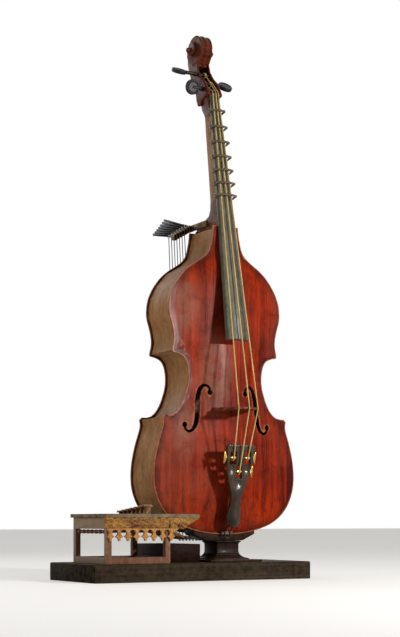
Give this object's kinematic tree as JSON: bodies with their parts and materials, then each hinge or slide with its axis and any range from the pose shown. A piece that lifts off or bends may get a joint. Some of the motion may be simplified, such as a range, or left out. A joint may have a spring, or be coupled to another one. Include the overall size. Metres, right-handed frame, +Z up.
{
  "type": "octobass",
  "caption": "Giant upright bass viol on a square pedestal beside a player's platform, with hand levers and wired pedals that press stop bars onto its strings.",
  "frame": {"origin": "on the floor, under the centre of the whole assembly's box", "axes": "+Z up, -Y towards the belly and the player's side, +X to the right of a viewer facing the belly, away from the platform"},
  "size_m": [1.6518, 0.997, 3.7803],
  "materials": {
    "plinth_wood": "black-brown stain with horizontal grain, satin",
    "stand_wood": "black stain, polished",
    "belly_varnish": "orange-red varnish over vertical spruce grain",
    "back_varnish": "brown varnish over flamed maple",
    "rib_wood": "grey-brown varnished maple",
    "inner_wood": "bare spruce",
    "neck_wood": "golden brown maple, rubbed bare",
    "head_wood": "red-brown varnished maple",
    "ebony": "dark ebony, satin",
    "bridge_wood": "aged maple",
    "gut": "pale twisted gut, satin",
    "dark_gut": "dark gut",
    "peg_wood": "black polished hardwood",
    "brass": "aged brass",
    "frame_wood": "pinkish-brown waxed wood",
    "deck_wood": "grey-brown worn planks",
    "carved_wood": "ochre carved wood with worn edges",
    "case_wood": "dark reddish stain",
    "bracket_wood": "dark wood",
    "lever_black": "black enamel on iron",
    "stop_wood": "dark hardwood",
    "wire_steel": "thin grey drawn wire",
    "pedal_wood": "brown waxed wood"
  },
  "bodies": {
    "stand": {"plinth": "plinth_wood", "pedestal": "stand_wood", "cradle": "stand_wood", "belly": "belly_varnish", "back": "back_varnish", "ribs": "rib_wood", "top_block": "inner_wood", "bottom_block": "inner_wood", "bass_bar": "inner_wood", "sound_post": "inner_wood", "neck": "neck_wood", "scroll_head": "head_wood", "fingerboard": "ebony", "nut": "ebony", "bridge": "bridge_wood", "tailpiece": "ebony", "tail_gut": "dark_gut", "saddle": "ebony", "string_1": "gut", "string_2": "gut", "string_3": "gut", "platform_frame": "frame_wood", "platform_top": "deck_wood", "platform_cornice": "carved_wood", "pedal_case": "case_wood", "lever_bracket": "bracket_wood"},
    "peg_1_body": {"peg_1": "peg_wood"},
    "peg_2_body": {"peg_2": "peg_wood"},
    "peg_3_body": {"peg_3": "peg_wood"},
    "tail_tuner_1_body": {"tail_tuner_1": "brass"},
    "tail_tuner_2_body": {"tail_tuner_2": "brass"},
    "tail_tuner_3_body": {"tail_tuner_3": "brass"},
    "lever_1_body": {"lever_1": "lever_black"},
    "lever_2_body": {"lever_2": "lever_black"},
    "lever_3_body": {"lever_3": "lever_black"},
    "lever_4_body": {"lever_4": "lever_black"},
    "lever_5_body": {"lever_5": "lever_black"},
    "lever_6_body": {"lever_6": "lever_black"},
    "lever_7_body": {"lever_7": "lever_black"},
    "stop_1_body": {"stop_1": "stop_wood"},
    "stop_2_body": {"stop_2": "stop_wood"},
    "stop_3_body": {"stop_3": "stop_wood"},
    "stop_4_body": {"stop_4": "stop_wood"},
    "stop_5_body": {"stop_5": "stop_wood"},
    "stop_6_body": {"stop_6": "stop_wood"},
    "stop_7_body": {"stop_7": "stop_wood"},
    "wire_1_body": {"wire_1": "wire_steel"},
    "wire_2_body": {"wire_2": "wire_steel"},
    "wire_3_body": {"wire_3": "wire_steel"},
    "wire_4_body": {"wire_4": "wire_steel"},
    "wire_5_body": {"wire_5": "wire_steel"},
    "wire_6_body": {"wire_6": "wire_steel"},
    "wire_7_body": {"wire_7": "wire_steel"},
    "pedal_1_body": {"pedal_1": "pedal_wood"},
    "pedal_2_body": {"pedal_2": "pedal_wood"},
    "pedal_3_body": {"pedal_3": "pedal_wood"},
    "pedal_4_body": {"pedal_4": "pedal_wood"},
    "pedal_5_body": {"pedal_5": "pedal_wood"},
    "pedal_6_body": {"pedal_6": "pedal_wood"},
    "pedal_7_body": {"pedal_7": "pedal_wood"}
  },
  "joints": [
    {"name": "peg_1_turn", "type": "hinge", "parent": "stand", "child": "peg_1_body", "pos_m": [0.2671, 0.01433, 3.371], "axis": [1, 0, 0], "continuous": true},
    {"name": "peg_2_turn", "type": "hinge", "parent": "stand", "child": "peg_2_body", "pos_m": [0.2671, 0.10233, 3.496], "axis": [1, 0, 0], "continuous": true},
    {"name": "peg_3_turn", "type": "hinge", "parent": "stand", "child": "peg_3_body", "pos_m": [0.2671, 0.03833, 3.419], "axis": [1, 0, 0], "continuous": true},
    {"name": "tail_tuner_1_turn", "type": "hinge", "parent": "stand", "child": "tail_tuner_1_body", "pos_m": [0.2121, -0.37299, 0.81472], "axis": [1, 0, 0], "continuous": true},
    {"name": "tail_tuner_2_turn", "type": "hinge", "parent": "stand", "child": "tail_tuner_2_body", "pos_m": [0.2671, -0.35445, 0.72358], "axis": [1, 0, 0], "continuous": true},
    {"name": "tail_tuner_3_turn", "type": "hinge", "parent": "stand", "child": "tail_tuner_3_body", "pos_m": [0.3221, -0.37299, 0.81472], "axis": [1, 0, 0], "continuous": true},
    {"name": "lever_1_press", "type": "hinge", "parent": "stand", "child": "lever_1_body", "pos_m": [0.0511, 0.13133, 2.36], "axis": [-1, 0, 0], "range_deg": [0, 16], "stiffness_Nm_per_rad": 6, "springref_deg": -34.38},
    {"name": "lever_2_press", "type": "hinge", "parent": "stand", "child": "lever_2_body", "pos_m": [0.0716, 0.13133, 2.372], "axis": [-1, 0, 0], "range_deg": [0, 16], "stiffness_Nm_per_rad": 6, "springref_deg": -34.38},
    {"name": "lever_3_press", "type": "hinge", "parent": "stand", "child": "lever_3_body", "pos_m": [0.0921, 0.13133, 2.384], "axis": [-1, 0, 0], "range_deg": [0, 16], "stiffness_Nm_per_rad": 6, "springref_deg": -34.38},
    {"name": "lever_4_press", "type": "hinge", "parent": "stand", "child": "lever_4_body", "pos_m": [0.1126, 0.13133, 2.396], "axis": [-1, 0, 0], "range_deg": [0, 16], "stiffness_Nm_per_rad": 6, "springref_deg": -34.38},
    {"name": "lever_5_press", "type": "hinge", "parent": "stand", "child": "lever_5_body", "pos_m": [0.1331, 0.13133, 2.408], "axis": [-1, 0, 0], "range_deg": [0, 16], "stiffness_Nm_per_rad": 6, "springref_deg": -34.38},
    {"name": "lever_6_press", "type": "hinge", "parent": "stand", "child": "lever_6_body", "pos_m": [0.1536, 0.13133, 2.42], "axis": [-1, 0, 0], "range_deg": [0, 16], "stiffness_Nm_per_rad": 6, "springref_deg": -34.38},
    {"name": "lever_7_press", "type": "hinge", "parent": "stand", "child": "lever_7_body", "pos_m": [0.1741, 0.13133, 2.432], "axis": [-1, 0, 0], "range_deg": [0, 16], "stiffness_Nm_per_rad": 6, "springref_deg": -34.38},
    {"name": "stop_1_turn", "type": "hinge", "parent": "stand", "child": "stop_1_body", "pos_m": [0.21987, -0.06285, 3.1947], "axis": [0, 0.1932, 0.9812], "range_deg": [0, 7.05]},
    {"name": "stop_2_turn", "type": "hinge", "parent": "stand", "child": "stop_2_body", "pos_m": [0.21647, -0.08354, 3.07891], "axis": [0, 0.1932, 0.9812], "range_deg": [0, 7.05]},
    {"name": "stop_3_turn", "type": "hinge", "parent": "stand", "child": "stop_3_body", "pos_m": [0.21326, -0.10304, 2.96962], "axis": [0, 0.1932, 0.9812], "range_deg": [0, 7.05]},
    {"name": "stop_4_turn", "type": "hinge", "parent": "stand", "child": "stop_4_body", "pos_m": [0.21023, -0.12141, 2.86645], "axis": [0, 0.1932, 0.9812], "range_deg": [0, 7.05]},
    {"name": "stop_5_turn", "type": "hinge", "parent": "stand", "child": "stop_5_body", "pos_m": [0.20737, -0.13873, 2.76906], "axis": [0, 0.1932, 0.9812], "range_deg": [0, 7.05]},
    {"name": "stop_6_turn", "type": "hinge", "parent": "stand", "child": "stop_6_body", "pos_m": [0.20467, -0.15506, 2.67714], "axis": [0, 0.1932, 0.9812], "range_deg": [0, 7.05]},
    {"name": "stop_7_turn", "type": "hinge", "parent": "stand", "child": "stop_7_body", "pos_m": [0.20212, -0.17046, 2.59038], "axis": [0, 0.1932, 0.9812], "range_deg": [0, 7.05]},
    {"name": "wire_1_pull", "type": "slide", "parent": "stand", "child": "wire_1_body", "axis": [0.0479, 0.0114, -0.9988], "range_m": [0, 0.0225]},
    {"name": "wire_2_pull", "type": "slide", "parent": "stand", "child": "wire_2_body", "axis": [0.0489, 0.0086, -0.9988], "range_m": [0, 0.0225]},
    {"name": "wire_3_pull", "type": "slide", "parent": "stand", "child": "wire_3_body", "axis": [0.0499, 0.0058, -0.9987], "range_m": [0, 0.0225]},
    {"name": "wire_4_pull", "type": "slide", "parent": "stand", "child": "wire_4_body", "axis": [0.0509, 0.003, -0.9987], "range_m": [0, 0.0225]},
    {"name": "wire_5_pull", "type": "slide", "parent": "stand", "child": "wire_5_body", "axis": [0.0519, 0.0003, -0.9987], "range_m": [0, 0.0225]},
    {"name": "wire_6_pull", "type": "slide", "parent": "stand", "child": "wire_6_body", "axis": [0.0529, -0.0024, -0.9986], "range_m": [0, 0.0225]},
    {"name": "wire_7_pull", "type": "slide", "parent": "stand", "child": "wire_7_body", "axis": [0.0538, -0.0051, -0.9985], "range_m": [0, 0.0225]},
    {"name": "pedal_1_press", "type": "hinge", "parent": "stand", "child": "pedal_1_body", "pos_m": [-0.6969, 0.07133, 0.325], "axis": [0, 1, 0], "range_deg": [0, 1.6]},
    {"name": "pedal_2_press", "type": "hinge", "parent": "stand", "child": "pedal_2_body", "pos_m": [-0.6969, 0.01133, 0.325], "axis": [0, 1, 0], "range_deg": [0, 1.6]},
    {"name": "pedal_3_press", "type": "hinge", "parent": "stand", "child": "pedal_3_body", "pos_m": [-0.6969, -0.04867, 0.325], "axis": [0, 1, 0], "range_deg": [0, 1.6]},
    {"name": "pedal_4_press", "type": "hinge", "parent": "stand", "child": "pedal_4_body", "pos_m": [-0.6969, -0.10867, 0.325], "axis": [0, 1, 0], "range_deg": [0, 1.6]},
    {"name": "pedal_5_press", "type": "hinge", "parent": "stand", "child": "pedal_5_body", "pos_m": [-0.6969, -0.16867, 0.325], "axis": [0, 1, 0], "range_deg": [0, 1.6]},
    {"name": "pedal_6_press", "type": "hinge", "parent": "stand", "child": "pedal_6_body", "pos_m": [-0.6969, -0.22867, 0.325], "axis": [0, 1, 0], "range_deg": [0, 1.6]},
    {"name": "pedal_7_press", "type": "hinge", "parent": "stand", "child": "pedal_7_body", "pos_m": [-0.6969, -0.28867, 0.325], "axis": [0, 1, 0], "range_deg": [0, 1.6]}
  ],
  "couplings": [
    {"joint": "stop_1_turn", "follows": "lever_1_press", "ratio": 0.4375},
    {"joint": "stop_2_turn", "follows": "lever_2_press", "ratio": 0.4375},
    {"joint": "stop_3_turn", "follows": "lever_3_press", "ratio": 0.4375},
    {"joint": "stop_4_turn", "follows": "lever_4_press", "ratio": 0.4375},
    {"joint": "stop_5_turn", "follows": "lever_5_press", "ratio": 0.4375},
    {"joint": "stop_6_turn", "follows": "lever_6_press", "ratio": 0.4375},
    {"joint": "stop_7_turn", "follows": "lever_7_press", "ratio": 0.4375},
    {"joint": "wire_1_pull", "follows": "lever_1_press", "m_per_rad": 0.079},
    {"joint": "wire_2_pull", "follows": "lever_2_press", "m_per_rad": 0.079},
    {"joint": "wire_3_pull", "follows": "lever_3_press", "m_per_rad": 0.079},
    {"joint": "wire_4_pull", "follows": "lever_4_press", "m_per_rad": 0.079},
    {"joint": "wire_5_pull", "follows": "lever_5_press", "m_per_rad": 0.079},
    {"joint": "wire_6_pull", "follows": "lever_6_press", "m_per_rad": 0.079},
    {"joint": "wire_7_pull", "follows": "lever_7_press", "m_per_rad": 0.079},
    {"joint": "pedal_1_press", "follows": "lever_1_press", "ratio": 0.09305},
    {"joint": "pedal_2_press", "follows": "lever_2_press", "ratio": 0.09056},
    {"joint": "pedal_3_press", "follows": "lever_3_press", "ratio": 0.0882},
    {"joint": "pedal_4_press", "follows": "lever_4_press", "ratio": 0.08595},
    {"joint": "pedal_5_press", "follows": "lever_5_press", "ratio": 0.08382},
    {"joint": "pedal_6_press", "follows": "lever_6_press", "ratio": 0.08179},
    {"joint": "pedal_7_press", "follows": "lever_7_press", "ratio": 0.07986}
  ]
}
